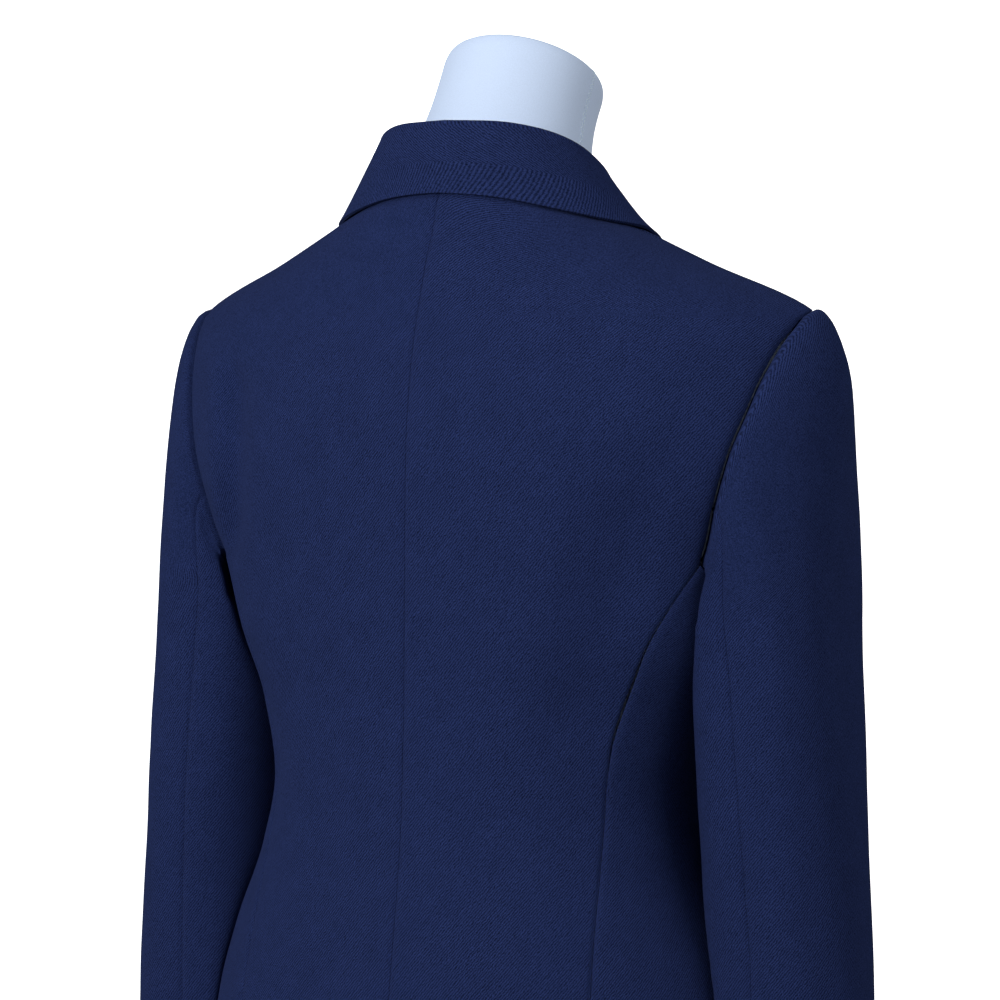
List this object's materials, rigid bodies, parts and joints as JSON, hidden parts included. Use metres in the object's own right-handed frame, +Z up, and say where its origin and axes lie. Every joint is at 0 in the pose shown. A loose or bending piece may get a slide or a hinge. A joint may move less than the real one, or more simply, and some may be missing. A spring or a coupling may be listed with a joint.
{
  "type": "tailored blazer on a limbless dress form",
  "caption": "Fitted navy wool blazer with notched lapels and set-in sleeves, worn by a limbless dress form with a pale fabric cover.",
  "frame": {"origin": "on the floor under the middle of the whole, at the flat base of the dress form", "axes": "+Z up; -Y the way the wearer faces, so +Y is the back of the jacket; +X the wearer's left"},
  "size_m": [0.5132, 0.2812, 0.805],
  "materials": {
    "navy_wool": "fine matte wool twill",
    "button_horn": "dark semi-gloss",
    "form_cover": "matte plain-weave cover"
  },
  "bodies": {
    "root": {"back_left": "navy_wool", "back_right": "navy_wool", "side_left": "navy_wool", "side_right": "navy_wool", "front_left": "navy_wool", "front_right": "navy_wool", "lapel_left": "navy_wool", "lapel_right": "navy_wool", "top_sleeve_left": "navy_wool", "top_sleeve_right": "navy_wool", "under_sleeve_left": "navy_wool", "under_sleeve_right": "navy_wool", "collar": "navy_wool", "button_top": "button_horn", "button_middle": "button_horn", "button_bottom": "button_horn", "dress_form": "form_cover"}
  },
  "joints": []
}
